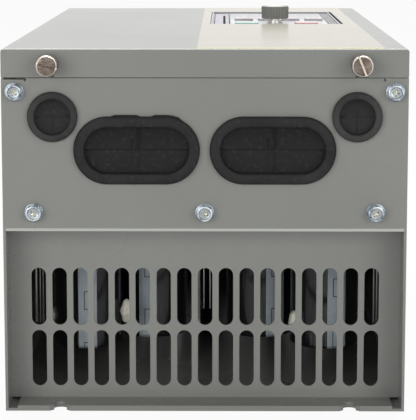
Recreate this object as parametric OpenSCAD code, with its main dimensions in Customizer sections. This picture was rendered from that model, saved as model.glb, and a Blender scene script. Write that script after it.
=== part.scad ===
// Variable frequency drive in a folded sheet-metal case, resting on its wall side.
// X runs across the case, Y along it from the cable end to the fan end, Z away from the wall.
// The origin is the middle of the wall face.

/* [Case] */
// Width of the case
case_w = 220; // [180:1:280]
// Length of the case
case_l = 460; // [380:1:560]
// Height from the wall face to the top of the cover
case_h = 200; // [190:1:240]
// Thickness of the case's steel sheet
sheet = 1.5; // [1:0.1:2]
// Depth of the recess over each mounting flange
recess = 20; // [16:1:26]
// Height of the deck that divides the air duct from the electronics
deck_z = 100.6; // [90:0.1:108]
// Radius of the case's mounting holes and notches
mount_r = 3.5; // [2.5:0.1:4.5]
// Distance between the mounting holes across the case
mount_pitch = 160; // [120:1:164]

/* [Cover] */
// Height of the cover's folded band
band_h = 15.5; // [14:0.5:18]
// Gap between the cover's rim and the case
cover_gap = 0.4; // [0.3:0.1:1]
// Outer radius of the cover's folded edges
bend_r = 2; // [1.6:0.1:3]
// Distance from the fan end to the hinges' axis
hinge_stand_off = 4.2; // [4:0.1:6]
// Radius of a thumb screw's head
thumb_r = 5.8; // [5:0.1:8]
// Length of a thumb screw's head
thumb_l = 12.8; // [8:0.1:18]
// Radius of a thumb screw's shank
thumb_shank_r = 2.4; // [2:0.1:3]

/* [Gland plate] */
// Outer radius of a round grommet
round_r = 13.6; // [12:0.1:16]
// Radius of the opening inside a round grommet
round_bore_r = 9.7; // [8:0.1:11]
// Width of an oblong grommet
oblong_w = 68.6; // [60:0.1:72]
// Height of an oblong grommet
oblong_h = 37; // [30:0.1:40]
// Width of an oblong grommet's rim
oblong_rim = 5.9; // [5:0.1:8]
// Across-flats size of a gland plate screw
hex_af = 8; // [7:0.1:10]
// Shank radius of a gland plate screw
screw_r = 2.4; // [2:0.1:3]

/* [Air duct] */
// Width of a grille slot
slot_w = 8.15; // [6:0.05:9]
// Distance between the slots of a row
slot_pitch = 11.6; // [10.5:0.1:16]
// Radius of a bus capacitor
cap_r = 20; // [15:0.5:20]
// Length of a bus capacitor
cap_l = 100; // [80:1:104]
// Side of a fan's square frame
fan_w = 80; // [60:1:84]
// Thickness of a fan's frame
fan_t = 25; // [20:1:32]
// Radius of a fan's shaft
fan_shaft_r = 2; // [1.5:0.1:3]
// Radial running clearance of a shaft in its bearing
run_gap = 0.05; // [0.02:0.01:0.1]

/* [Keypad] */
// Width of the keypad's opening in the cover
pad_w = 87.2; // [80:0.1:92]
// Length of the keypad's opening in the cover
pad_l = 159; // [140:1:180]
// Distance from the keypad's opening to the fan end
pad_end = 66; // [62:1:90]
// Radius of the knob
knob_r = 9.15; // [7:0.05:12]
// Height of the knob
knob_h = 9.6; // [8:0.1:14]
// Radius of the knob's shaft
knob_shaft_r = 3; // [2:0.1:3.2]
// Travel of a key
key_travel = 1; // [0.5:0.1:1.2]
// Gap between a key and its opening
key_gap = 0.4; // [0.3:0.1:0.8]

/* [Hidden] */
$fn = 48;
bore_fn = 64;
eps = 0.01;

// Planes of the case
x1 = case_w / 2;
y0 = -case_l / 2;
y1 = case_l / 2;
in_x = x1 - sheet;
rim_z = case_h - band_h;
wall_top = rim_z - cover_gap;
deck_top = deck_z + sheet;
grille_y = y0 + recess;
outlet_y = y1 - recess;
top_z = case_h - sheet;

// Folded flanges and mounting points
return_w = 10;
return_top = wall_top - 3;
tab_w = 13;
rail_bottom = wall_top - 6;
rail_top = top_z - 1;
notch_depth = 9;
notch_flare = 2.3;
mount_edge = 8;
foot_inset = 6.5;

// Gland plate
plate_h = wall_top - deck_top;
gland_top_x = x1 - 7.2;
gland_top_z = wall_top - 7.5;
gland_low_x = x1 - 17;
gland_low_z = deck_top + 8.7;
gland_screw_places = [
    [-gland_top_x, gland_top_z], [gland_top_x, gland_top_z],
    [-gland_low_x, gland_low_z], [0, gland_low_z], [gland_low_x, gland_low_z]
];
round_x = x1 - 27.6;
round_z = wall_top - 20.9;
oblong_x = 36.9;
oblong_z = deck_top + 42.9;
rubber_fit = 0.1;
rim_out = 3.2;
rim_in = 2.4;
membrane_t = 1.2;
waist_t = 1.5;

// Thumb screws
thumb_x = x1 - 25.8;
thumb_z = rim_z + 6.9;
thumb_seat = 0.4;
nut_r = 5;
nut_t = 6;

// Grille
slot_columns = 2 * floor((x1 - 12.7) / slot_pitch) + 1;
low_slot_z = [9.5, 41.3];
high_slot_z = [44.3, 76.7];

// Boards and what they carry
board_t = 1.6;
power_z = deck_z + 21.1;
power_top = power_z + board_t;
power_y0 = y0 + 45;
power_y1 = y1 - 50;
power_x = x1 - 10;
control_z = power_top + 28;
control_top = control_z + board_t;
control_x0 = -power_x;
control_x1 = 25;
control_y0 = y0 + 130;
control_l = 170;
post_r = 3.5;
board_screw_r = 1.5;
low_posts = [for (s = [-1, 1]) for (y = [y0 + 150, 10, y1 - 65]) [s * (x1 - 16), y]];
high_posts = [for (x = [control_x0 + 12, control_x1 - 11])
    for (y = [control_y0 + 8, control_y0 + control_l - 10]) [x, y]];

// Capacitors, in two staggered pairs
cap_places = [[-69.5, y0 + 80], [-32, y0 + 111], [32, y0 + 111], [69.5, y0 + 80]];
cap_hole_gap = 0.5;
clamp_t = 6;

// Heat sink
sink_w = case_w - 40;
sink_y0 = y0 + 150;
sink_y1 = y1 - 60;
sink_base = 10;
fin_t = 2.4;
fin_pitch = 11.2;
fin_low_z = 14;
window_margin = 15;
window_w = sink_w - 2 * window_margin;

// Fans
fan_x = fan_w / 2 + 10;
fan_z = (sheet + deck_z) / 2;
fan_r = fan_w / 2 - 2;
hub_r = 16;
blade_gap = 1.5;
blade_count = 7;
blade_tilt = 38;
blade_t = 1.6;
spider_t = 3;
fan_y = outlet_y - sheet - fan_t;
guard_wire_r = 0.9;

// Hinges
hinge_y = y1 + hinge_stand_off;
hinge_x = x1 * 0.59;
hinge_l = 50;
knuckle_r = 3;
hinge_pin_r = 1.5;
knuckle_gap = 0.3;
leaf_gap = 0.4;

// Keypad
pad_x0 = 1.4;
pad_y0 = y1 - pad_end - pad_l;
pad_fit = 0.5;
pad_lip = 4;
pad_plate_t = 2;
pad_low_z = top_z - 20.5;
pad_wall = 2;
pad_face = top_z + 0.5;
film_t = 0.3;
film_x0 = -4.3;
film_x1 = x1 - 12.8;
film_inset = 0.6;
key_board_z = pad_low_z + 4;
knob_x = pad_x0 + 43.2;
knob_y = pad_y0 + 32;
knob_z = case_h + 2.3;
bush_r = 5;
pot_w = 17;
key_switch_h = 3.4;
key_rest_gap = 0.3;
key_low_z = key_board_z + board_t + key_switch_h + key_travel + key_rest_gap;
key_high_z = case_h + 0.8;
key_lip = 1.2;
// Each key's low corner from the opening's corner, and its size
run_place = [16.6, 7, 15, 18];
stop_place = [56.1, 7, 15, 18];
program_place = [16.6, 60, 12, 14];
enter_place = [32.6, 60, 12, 14];
up_place = [48.6, 60, 12, 14];
down_place = [64.6, 60, 12, 14];
key_places = [run_place, stop_place, program_place, enter_place, up_place, down_place];
window_place = [22, 96, 56, 36];

// ---- Shared shapes ----

module stadium(w, h) {
    // A slot outline whose ends are half circles, along its longer side
    r = min(w, h) / 2;
    dx = w / 2 - r;
    dy = h / 2 - r;
    square([w > h ? 2 * dx : w, w > h ? h : 2 * dy], center = true);
    for (s = [-1, 1]) translate([s * dx, s * dy]) circle(r, $fn = bore_fn);
}

module rounded_top(w, h, r) {
    // A sheet's cross-section with its two upper corners rounded
    translate([-w / 2, 0]) square([w, h - r]);
    translate([-w / 2 + r, 0]) square([w - 2 * r, h]);
    for (s = [-1, 1]) translate([s * (w / 2 - r), h - r]) circle(r);
}

module across_plate(t) {
    // Stands a shape drawn in X and Z upright, t thick along Y
    rotate([90, 0, 0]) mirror([0, 0, 1]) linear_extrude(t) children();
}

module along_y(x, y, z, r, l, fn = 48) {
    translate([x, y, z]) rotate([-90, 0, 0]) cylinder(r = r, h = l, $fn = fn);
}

module mounting_notch(s) {
    // A bolt notch in the front flange, open and flared towards the edge
    translate([s * mount_pitch / 2, y0, -eps]) linear_extrude(2 * sheet + 1) {
        translate([0, notch_depth - mount_r]) circle(mount_r, $fn = bore_fn);
        translate([-mount_r, -1]) square([2 * mount_r, notch_depth - mount_r + 1]);
        polygon([[-mount_r - notch_flare, -1], [-mount_r - notch_flare, 0], [-mount_r, notch_flare],
            [mount_r, notch_flare], [mount_r + notch_flare, 0], [mount_r + notch_flare, -1]]);
    }
}

module mounting_hole(s) {
    translate([s * mount_pitch / 2, y1 - mount_edge, -1])
        cylinder(r = mount_r, h = 2 * sheet + 2, $fn = bore_fn);
}

// ---- Case ----

module side_wall(s) {
    low_x = s > 0 ? in_x : -x1;
    translate([low_x, y0, 0]) cube([sheet, case_l, deck_top]);
    translate([low_x, y0 + sheet, 0]) cube([sheet, case_l - 2 * sheet, wall_top]);
    // Return flanges behind the two upper end plates
    for (y = [y0 + sheet, y1 - 2 * sheet])
        translate([s > 0 ? in_x - return_w : -in_x, y, deck_top])
            cube([return_w, sheet, return_top - deck_top]);
}

module chassis() {
    color("gray") difference() {
        union() {
            translate([-x1, y0, 0]) cube([case_w, case_l, sheet]);
            for (s = [-1, 1]) side_wall(s);
        }
        for (s = [-1, 1]) {
            mounting_notch(s);
            mounting_hole(s);
            along_y(s * gland_top_x, y0, gland_top_z, screw_r + 0.1, 3 * sheet);
        }
    }
}

module grille_outline() {
    difference() {
        translate([-in_x, 2 * sheet]) square([2 * in_x, deck_z - 2 * sheet]);
        for (i = [0:slot_columns - 1]) for (span = [low_slot_z, high_slot_z])
            translate([(i - (slot_columns - 1) / 2) * slot_pitch, (span[0] + span[1]) / 2])
                stadium(slot_w, span[1] - span[0]);
    }
}

module lower_grille() {
    color("gray") {
        translate([0, grille_y, 0]) across_plate(sheet) grille_outline();
        difference() {
            translate([-x1 + foot_inset, y0, sheet])
                cube([case_w - 2 * foot_inset, recess + sheet, sheet]);
            for (s = [-1, 1]) mounting_notch(s);
        }
    }
}

module fan_panel() {
    color("gray") {
        translate([0, outlet_y - sheet, 0]) across_plate(sheet) difference() {
            translate([-in_x, 2 * sheet]) square([2 * in_x, deck_z - 2 * sheet]);
            for (s = [-1, 1]) translate([s * fan_x, fan_z]) circle(fan_r, $fn = bore_fn);
        }
        difference() {
            translate([-x1 + foot_inset, outlet_y - sheet, sheet])
                cube([case_w - 2 * foot_inset, recess + sheet, sheet]);
            for (s = [-1, 1]) mounting_hole(s);
        }
    }
}

module upper_end_panel() {
    vent_rows = 3;
    vent_l = 26;
    color("gray") translate([0, y1 - sheet, 0]) across_plate(sheet) difference() {
        translate([-x1, deck_top]) square([case_w, plate_h]);
        for (i = [-2:2]) for (j = [0:vent_rows - 1])
            translate([i * 36, deck_top + 18 + j * 12]) stadium(vent_l, 4);
    }
}

module deck_plate() {
    upstand_h = 16;
    color("silver") {
        difference() {
            translate([-in_x, y0, deck_z]) cube([2 * in_x, case_l, sheet]);
            for (p = cap_places) translate([p[0], p[1], deck_z - 1])
                cylinder(r = cap_r + cap_hole_gap, h = sheet + 2, $fn = bore_fn);
            translate([-window_w / 2, sink_y0 + window_margin, deck_z - 1])
                cube([window_w, sink_y1 - sink_y0 - 2 * window_margin, sheet + 2]);
            sink_screw_bores(deck_z - 1, sheet + 2);
        }
        // Folded upstand that takes the gland plate's lower screws
        difference() {
            translate([-in_x + return_w + 1, y0 + sheet, deck_top - eps])
                cube([2 * (in_x - return_w - 1), sheet, upstand_h + eps]);
            for (x = [-gland_low_x, 0, gland_low_x])
                along_y(x, y0, gland_low_z, screw_r + 0.1, 3 * sheet);
        }
    }
}

module front_rail() {
    // Each end stops short of the gland plate's tab and reaches down behind the return flange,
    // where the upper gland plate screw clamps it
    rail_x = in_x - 1;
    rail_y = y0 + 2 * sheet;
    ear_x = x1 - tab_w - 1;
    ear_bottom = gland_top_z - 6;
    color("gray") difference() {
        union() {
            translate([-ear_x, rail_y, rail_bottom]) cube([2 * ear_x, sheet, rail_top - rail_bottom]);
            translate([-rail_x, rail_y, rail_bottom]) cube([2 * rail_x, sheet, return_top - rail_bottom]);
            for (s = [-1, 1]) translate([s > 0 ? ear_x : -rail_x, rail_y, ear_bottom])
                cube([rail_x - ear_x, sheet, return_top - ear_bottom]);
        }
        for (s = [-1, 1]) {
            along_y(s * thumb_x, y0, thumb_z, thumb_shank_r + run_gap + 0.1, 4 * sheet);
            along_y(s * gland_top_x, y0, gland_top_z, screw_r + 0.1, 4 * sheet);
        }
    }
}

module thumb_nuts() {
    color("silver") for (s = [-1, 1]) difference() {
        along_y(s * thumb_x, y0 + 3 * sheet, thumb_z, nut_r, nut_t);
        along_y(s * thumb_x, y0, thumb_z, thumb_shank_r + run_gap, 3 * sheet + nut_t + 1);
    }
}

// ---- Gland plate ----

module gland_plate() {
    tab_drop = 0.8;
    slit_w = 1.2;
    slit_depth = 1.7;
    color("gray") translate([0, y0, 0]) across_plate(sheet) difference() {
        translate([-x1, deck_top]) square([case_w, plate_h]);
        for (s = [-1, 1]) {
            translate([s * round_x, round_z]) circle(round_bore_r + waist_t, $fn = bore_fn);
            translate([s * oblong_x, oblong_z])
                stadium(oblong_w - 2 * oblong_rim + 2 * waist_t, oblong_h - 2 * oblong_rim + 2 * waist_t);
            translate([s * (x1 - tab_w) - slit_w / 2, wall_top - slit_depth])
                square([slit_w, slit_depth + 1]);
        }
        translate([-x1 - 1, wall_top - tab_drop]) square([tab_w + 1, tab_drop + 1]);
        for (p = gland_screw_places) translate(p) circle(screw_r + 0.1);
    }
}

module gland_plate_screws() {
    washer_r = hex_af / 2 / cos(30) + 0.5;
    washer_t = 1;
    head_h = 4.2;
    shank_l = 9;
    color("lightgray") for (p = gland_screw_places) {
        along_y(p[0], y0 - washer_t, p[1], washer_r, washer_t);
        along_y(p[0], y0 - washer_t - head_h, p[1], hex_af / 2 / cos(30), head_h, 6);
        along_y(p[0], y0 - eps, p[1], screw_r, shank_l);
    }
}

module round_grommet(s) {
    // Two flanges on a waist that fills the plate's hole, closed by a thin membrane
    color("#383838") translate([s * round_x, y0, round_z]) rotate([-90, 0, 0])
        rotate_extrude($fn = bore_fn) polygon([
            [0, sheet], [round_bore_r, sheet], [round_bore_r, -rim_out + 0.8], [round_bore_r + 0.8, -rim_out],
            [round_r - 1, -rim_out], [round_r, -rim_out + 1.2], [round_r, 0],
            [round_bore_r + waist_t - rubber_fit, 0], [round_bore_r + waist_t - rubber_fit, sheet],
            [round_r, sheet], [round_r, sheet + rim_in], [round_bore_r, sheet + rim_in],
            [round_bore_r, sheet + membrane_t], [0, sheet + membrane_t]
        ]);
}

module oblong_layer(y, t, outer, inner) {
    // One slice of an oblong grommet: its outline shrunk by outer, its opening grown by inner
    translate([0, y, 0]) across_plate(t) difference() {
        stadium(oblong_w - 2 * outer, oblong_h - 2 * outer);
        stadium(oblong_w - 2 * (oblong_rim + inner), oblong_h - 2 * (oblong_rim + inner));
    }
}

module oblong_grommet(s) {
    opening = [oblong_w - 2 * oblong_rim, oblong_h - 2 * oblong_rim];
    waist = oblong_rim - waist_t + rubber_fit;
    color("#202020") translate([s * oblong_x, y0, oblong_z]) {
        oblong_layer(-rim_out, 1, 1, -0.8);
        oblong_layer(-rim_out + 1 - eps, rim_out - 1 + eps, 0, 0);
        oblong_layer(-eps, sheet + 2 * eps, waist, 0);
        oblong_layer(sheet, rim_in, 0, 0);
        translate([0, sheet, 0]) across_plate(membrane_t) stadium(opening[0] + 1, opening[1] + 1);
    }
}

// ---- Air duct ----

module sink_screw_bores(z, h) {
    for (s = [-1, 1]) for (y = [sink_y0 + 20, (sink_y0 + sink_y1) / 2, sink_y1 - 20])
        translate([s * (sink_w / 2 - window_margin / 2), y, z]) cylinder(r = 2.1, h = h);
}

module heat_sink() {
    fin_count = floor((sink_w - fin_t) / fin_pitch) + 1;
    fin_span = (fin_count - 1) * fin_pitch;
    color("lightgray") {
        difference() {
            translate([-sink_w / 2, sink_y0, deck_z - sink_base])
                cube([sink_w, sink_y1 - sink_y0, sink_base]);
            sink_screw_bores(deck_z - sink_base + 2, sink_base);
        }
        for (i = [0:fin_count - 1])
            translate([-fin_span / 2 + i * fin_pitch - fin_t / 2, sink_y0, fin_low_z])
                cube([fin_t, sink_y1 - sink_y0, deck_z - sink_base - fin_low_z + eps]);
    }
}

module heat_sink_screws() {
    color("silver") for (s = [-1, 1])
        for (y = [sink_y0 + 20, (sink_y0 + sink_y1) / 2, sink_y1 - 20])
            translate([s * (sink_w / 2 - window_margin / 2), y, 0]) {
                translate([0, 0, deck_top]) cylinder(r = 3.6, h = 2.4);
                translate([0, 0, deck_z - 6]) cylinder(r = 2, h = 6 + sheet + 1);
            }
}

module bus_capacitor(place) {
    low_z = power_z - cap_l;
    neck_z = power_z - 8;
    color("#181818") translate([place[0], place[1], 0]) rotate_extrude($fn = bore_fn) polygon([
        [0, low_z], [cap_r - 1.5, low_z], [cap_r, low_z + 1.5], [cap_r, neck_z], [cap_r - 1.2, neck_z + 1.2],
        [cap_r, neck_z + 2.4], [cap_r, power_z - 1], [cap_r - 2, power_z], [0, power_z]
    ]);
}

module capacitor_clamp() {
    color("#303030") difference() {
        translate([-x1 + 15, y0 + 56, deck_top]) cube([case_w - 30, 80, clamp_t]);
        for (p = cap_places) translate([p[0], p[1], deck_z])
            cylinder(r = cap_r + 0.3, h = clamp_t + 3, $fn = bore_fn);
    }
}

module dab(x, y, z, r, l) {
    translate([x, y, z]) {
        sphere(r, $fn = 16);
        translate([0, 0.8, l]) sphere(r * 0.85, $fn = 16);
    }
}

module adhesive_dabs() {
    low = 38;
    color("#d8cfb0") difference() {
        union() {
            for (s = [-1, 1]) {
                hull() dab(s * (69.5 - cap_r - 2.2), y0 + 74, low, 4, 7);
                hull() dab(s * (69.5 + cap_r + 2.6), y0 + 76, low, 3.6, 6);
            }
        }
        for (p = cap_places) translate([p[0], p[1], 0]) cylinder(r = cap_r + 0.05, h = deck_z, $fn = bore_fn);
    }
}

// ---- Fans ----

module fan_ring() {
    mount_off = fan_w / 2 - 4.3;
    difference() {
        square(fan_w, center = true);
        circle(fan_r, $fn = bore_fn);
        for (a = [-1, 1]) for (b = [-1, 1]) translate([a * mount_off, b * mount_off]) circle(2.2);
    }
}

module fan_frame(s) {
    // A square ring whose outer layer carries the bearing on four struts
    strut_w = 4;
    boss_l = 2;
    spider_y = fan_t - spider_t;
    color("#181818") translate([s * fan_x, fan_y, fan_z]) {
        across_plate(spider_y) fan_ring();
        translate([0, spider_y, 0]) across_plate(spider_t) difference() {
            union() {
                fan_ring();
                circle(hub_r + 1, $fn = bore_fn);
                for (a = [45:90:315]) rotate(a) translate([0, -strut_w / 2]) square([fan_r + 1, strut_w]);
            }
            circle(fan_shaft_r + run_gap, $fn = bore_fn);
        }
        translate([0, spider_y - boss_l, 0]) across_plate(boss_l) difference() {
            circle(5);
            circle(fan_shaft_r + run_gap, $fn = bore_fn);
        }
    }
}

module fan_rotor(s) {
    hub_l = fan_t - spider_t - 6;
    blade_l = 16;
    color("#202020") translate([s * fan_x, fan_y + 3.5, fan_z]) {
        along_y(0, 0, 0, hub_r, hub_l);
        along_y(0, 1, 0, fan_shaft_r, fan_t - 4.5, bore_fn);
        intersection() {
            along_y(0, 0, 0, fan_r - blade_gap, hub_l);
            for (i = [0:blade_count - 1]) rotate([0, i * 360 / blade_count, 0])
                translate([hub_r - 1, hub_l / 2, 0]) rotate([blade_tilt, 0, 0])
                    translate([0, -blade_l / 2, -blade_t / 2]) cube([fan_r, blade_l, blade_t]);
        }
    }
}

module fan_guards() {
    color("silver") for (s = [-1, 1]) translate([s * fan_x, outlet_y + guard_wire_r, fan_z]) {
        for (r = [10:8:34]) rotate([90, 0, 0])
            rotate_extrude($fn = bore_fn) translate([r, 0]) circle(guard_wire_r, $fn = 16);
        for (a = [45, 135]) rotate([0, a, 0]) translate([-fan_r - 5, 0, 0]) rotate([0, 90, 0])
            cylinder(r = guard_wire_r, h = 2 * fan_r + 10, $fn = 16);
    }
}

// ---- Electronics ----

module power_module(x, y, w, l) {
    body_h = 17;
    color("#202020") {
        translate([x - w / 2, y, deck_z]) cube([w, l, body_h]);
        for (i = [0:5]) for (j = [0, 1])
            translate([x - w / 2 + 8 + i * (w - 16) / 5, y + 6 + j * (l - 12), deck_z + body_h - eps])
                cylinder(r = 1.2, h = power_z - deck_z - body_h + eps, $fn = 16);
    }
}

module power_board() {
    color("darkgreen") difference() {
        translate([-power_x, power_y0, power_z]) cube([2 * power_x, power_y1 - power_y0, board_t]);
        for (p = low_posts) translate([p[0], p[1], power_z - 1]) cylinder(r = board_screw_r + 0.1, h = 4);
    }
}

module control_board() {
    color("darkgreen") difference() {
        translate([control_x0, control_y0, control_z])
            cube([control_x1 - control_x0, control_l, board_t]);
        for (p = high_posts) translate([p[0], p[1], control_z - 1]) cylinder(r = board_screw_r + 0.1, h = 4);
    }
}

module post(p, z0, z1) {
    difference() {
        translate([p[0], p[1], z0]) cylinder(r = post_r, h = z1 - z0);
        translate([p[0], p[1], z1 - 8]) cylinder(r = board_screw_r + run_gap, h = 9);
    }
}

module board_standoffs() {
    color("gold") {
        for (p = low_posts) post(p, deck_top, power_z);
        for (p = high_posts) post(p, power_top, control_z);
    }
}

module board_screws() {
    color("silver") for (set = [[low_posts, power_top], [high_posts, control_top]])
        for (p = set[0]) translate([p[0], p[1], set[1]]) {
            cylinder(r = 3, h = 2.2);
            translate([0, 0, -board_t - 6]) cylinder(r = board_screw_r, h = board_t + 6.5);
        }
}

// The power terminal block's ways, shared by its screws
way_count = 10;
way_pitch = 18;
block_w = way_count * way_pitch;
block_y0 = y0 + 47;
block_l = 28;
block_h = 26;

module power_terminal_block() {
    color("#2a2a2a") difference() {
        translate([-block_w / 2, block_y0, power_top]) cube([block_w, block_l, block_h]);
        for (i = [0:way_count - 1]) translate([-block_w / 2 + (i + 0.5) * way_pitch, 0, 0]) {
            along_y(0, block_y0 - 1, power_top + 9, 5.5, 16);
            translate([-7, block_y0 + 4, power_top + 18]) cube([14, block_l - 8, block_h]);
        }
    }
}

module power_terminal_screws() {
    color("silver") for (i = [0:way_count - 1])
        translate([-block_w / 2 + (i + 0.5) * way_pitch, block_y0 + 14, power_top + 18]) difference() {
            cylinder(r = 5, h = 4);
            translate([-6, -0.6, 3]) cube([12, 1.2, 2]);
        }
}

module control_terminal_block() {
    ways = 16;
    pitch = 5;
    color("seagreen") translate([control_x0 + 12, control_y0 + 18, control_top]) difference() {
        cube([ways * pitch, 12, 11]);
        for (i = [0:ways - 1]) {
            translate([(i + 0.5) * pitch, -1, 3.5]) rotate([-90, 0, 0]) cylinder(r = 1.5, h = 8, $fn = 16);
            translate([(i + 0.5) * pitch, 6, 7]) cylinder(r = 1.7, h = 5, $fn = 16);
        }
    }
}

module current_sensors() {
    color("#2a2a2a") for (x = [32, 56, 80]) translate([x - 10, y0 + 82, power_top]) difference() {
        cube([20, 13, 24]);
        translate([10, -1, 13]) rotate([-90, 0, 0]) cylinder(r = 6, h = 15);
    }
}

module bus_bars() {
    color("peru") for (y = [y0 + 104, y0 + 119])
        translate([-88, y, power_top]) cube([108, 10, 2]);
}

module soft_charge_relay() {
    color("#202020") translate([42, y0 + 150, power_top]) cube([30, 26, 24]);
}

module control_transformer() {
    color("#b08040") {
        translate([42, y0 + 200, power_top]) cube([46, 16, 38]);
        translate([48, y0 + 194, power_top + 6]) cube([34, 28, 26]);
    }
}

module earth_studs() {
    color("goldenrod") for (x = [-50, 50]) translate([x, y0 + 24, deck_top]) {
        cylinder(r = 3, h = 16);
        cylinder(r = 5.8, h = 5, $fn = 6);
    }
}

// ---- Cover ----

module folded_shell(w, l, h, r) {
    // A box with its upper edges rounded all round
    intersection() {
        translate([0, l / 2, 0]) rotate([90, 0, 0]) linear_extrude(l) rounded_top(w, h, r);
        translate([-w / 2, 0, 0]) rotate([90, 0, 90]) linear_extrude(w) rounded_top(l, h, r);
    }
}

module front_cover() {
    slot_half = thumb_shank_r + 0.6;
    color("gray") difference() {
        translate([0, 0, rim_z]) folded_shell(case_w, case_l, band_h, bend_r);
        translate([0, 0, rim_z - 1])
            folded_shell(case_w - 2 * sheet, case_l - 2 * sheet, band_h - sheet + 1, bend_r - sheet + 0.2);
        translate([pad_x0, pad_y0, top_z - 1]) cube([pad_w, pad_l, sheet + 2]);
        // Slots that let the band lift off the loosened thumb screws
        for (s = [-1, 1]) {
            translate([s * thumb_x - slot_half, y0 - 1, rim_z - 1])
                cube([2 * slot_half, sheet + 2, thumb_z - rim_z + 1]);
            along_y(s * thumb_x, y0 - 1, thumb_z, slot_half, sheet + 2);
        }
    }
}

module cover_overlay() {
    color("cornsilk") difference() {
        translate([film_x0, y0 + film_inset + bend_r, case_h])
            cube([film_x1 - film_x0, case_l - 2 * (film_inset + bend_r), film_t]);
        translate([pad_x0, pad_y0, case_h - 1]) cube([pad_w, pad_l, 3]);
    }
}

module in_pad() {
    translate([pad_x0, pad_y0, 0]) children();
}

module keypad_housing() {
    color("lavender") in_pad() difference() {
        union() {
            translate([-pad_lip, -pad_lip, top_z - pad_plate_t])
                cube([pad_w + 2 * pad_lip, pad_l + 2 * pad_lip, pad_plate_t]);
            translate([pad_fit, pad_fit, pad_low_z])
                cube([pad_w - 2 * pad_fit, pad_l - 2 * pad_fit, pad_face - pad_low_z]);
        }
        translate([pad_fit + pad_wall, pad_fit + pad_wall, pad_low_z - 1])
            cube([pad_w - 2 * (pad_fit + pad_wall), pad_l - 2 * (pad_fit + pad_wall),
                top_z - pad_plate_t - pad_low_z + 1]);
        for (k = key_places) translate([k[0] - key_gap, k[1] - key_gap, top_z - pad_plate_t - 1])
            cube([k[2] + 2 * key_gap, k[3] + 2 * key_gap, 6]);
        translate([window_place[0], window_place[1], top_z - pad_plate_t - 1])
            cube([window_place[2], window_place[3], 6]);
        translate([knob_x - pad_x0, knob_y - pad_y0, top_z - pad_plate_t - 1])
            cylinder(r = bush_r, h = 6, $fn = bore_fn);
    }
}

module keypad_membrane() {
    // Printed face film over the housing, open at the keys and the shaft
    side = 13.5;
    far = 3;
    color("whitesmoke") in_pad() difference() {
        translate([side, pad_fit + 1, pad_face])
            cube([pad_w - side - 9, pad_l - 2 * pad_fit - 1 - far, film_t]);
        for (k = key_places) translate([k[0] - key_gap, k[1] - key_gap, pad_face - 1])
            cube([k[2] + 2 * key_gap, k[3] + 2 * key_gap, 6]);
        translate([window_place[0], window_place[1], pad_face - 1])
            cube([window_place[2], window_place[3], 6]);
        translate([knob_x - pad_x0, knob_y - pad_y0, pad_face - 1])
            cylinder(r = bush_r, h = 6, $fn = bore_fn);
    }
}

module display_window() {
    color("#301010") in_pad() translate([window_place[0], window_place[1], top_z - pad_plate_t])
        cube([window_place[2], window_place[3], pad_face - top_z + pad_plate_t + film_t]);
}

module keypad_board() {
    inner = pad_fit + pad_wall;
    color("darkgreen") in_pad() {
        translate([inner, inner, key_board_z]) cube([pad_w - 2 * inner, pad_l - 2 * inner, board_t]);
        for (k = key_places) translate([k[0] + k[2] / 2 - 3, k[1] + k[3] / 2 - 3, key_board_z])
            cube([6, 6, board_t + key_switch_h]);
    }
}

module potentiometer() {
    body_h = 9;
    color("silver") translate([knob_x, knob_y, key_board_z + board_t]) difference() {
        union() {
            translate([-pot_w / 2, -pot_w / 2, 0]) cube([pot_w, pot_w, body_h]);
            cylinder(r = bush_r, h = case_h + 1 - key_board_z - board_t, $fn = bore_fn);
        }
        translate([0, 0, 2]) cylinder(r = knob_shaft_r + run_gap, h = 40, $fn = bore_fn);
    }
}

module knob() {
    color("dimgray") translate([knob_x, knob_y, knob_z]) difference() {
        rotate_extrude($fn = bore_fn) polygon([
            [0, 0], [knob_r - 0.6, 0], [knob_r, 0.6], [knob_r - 0.25, knob_h - 1.6],
            [knob_r - 0.9, knob_h - 0.7], [knob_r * 0.7, knob_h - 0.2], [0, knob_h]
        ]);
        translate([0, 0, -1]) cylinder(r = knob_shaft_r, h = knob_h - 1.5, $fn = bore_fn);
    }
}

module knob_shaft() {
    low_z = key_board_z + board_t + 2.5;
    color("silver") translate([knob_x, knob_y, low_z])
        cylinder(r = knob_shaft_r, h = knob_z + knob_h - 2.5 - low_z, $fn = bore_fn);
}

module key(k, tint) {
    lip_gap = 0.4;
    color(tint) in_pad() {
        translate([k[0], k[1], key_low_z]) cube([k[2], k[3], key_high_z - key_low_z]);
        translate([k[0] - key_lip, k[1] - key_lip, top_z - pad_plate_t - lip_gap - 2])
            cube([k[2] + 2 * key_lip, k[3] + 2 * key_lip, 2]);
    }
}

module thumb_screw(s) {
    slot_half = 0.8;
    color("#9a9080") translate([s * thumb_x, y0 - thumb_seat - thumb_l, thumb_z]) difference() {
        rotate([-90, 0, 0]) rotate_extrude($fn = bore_fn) polygon([
            [0, 0], [thumb_r - 0.8, 0], [thumb_r, 0.8], [thumb_r, thumb_l - 0.6], [thumb_r - 0.6, thumb_l],
            [thumb_shank_r, thumb_l], [thumb_shank_r, thumb_l + thumb_seat + 3 * sheet + nut_t + 1],
            [0, thumb_l + thumb_seat + 3 * sheet + nut_t + 1]
        ]);
        rotate([0, s < 0 ? 16 : 68, 0]) translate([-thumb_r - 1, -1, -slot_half])
            cube([2 * thumb_r + 2, 2.6, 2 * slot_half]);
    }
}

// ---- Hinges ----

module hinge_barrels(spans, bore_gap) {
    // Knuckles over the given X spans, each tied to its leaf's side by the children
    for (span = spans) difference() {
        union() {
            translate([span[0], hinge_y, rim_z]) rotate([0, 90, 0])
                cylinder(r = knuckle_r, h = span[1] - span[0]);
            translate([span[0], 0, 0]) linear_bridge(span[1] - span[0]) children();
        }
        translate([span[0] - 1, hinge_y, rim_z]) rotate([0, 90, 0])
            cylinder(r = hinge_pin_r + bore_gap, h = span[1] - span[0] + 2, $fn = bore_fn);
    }
}

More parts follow.
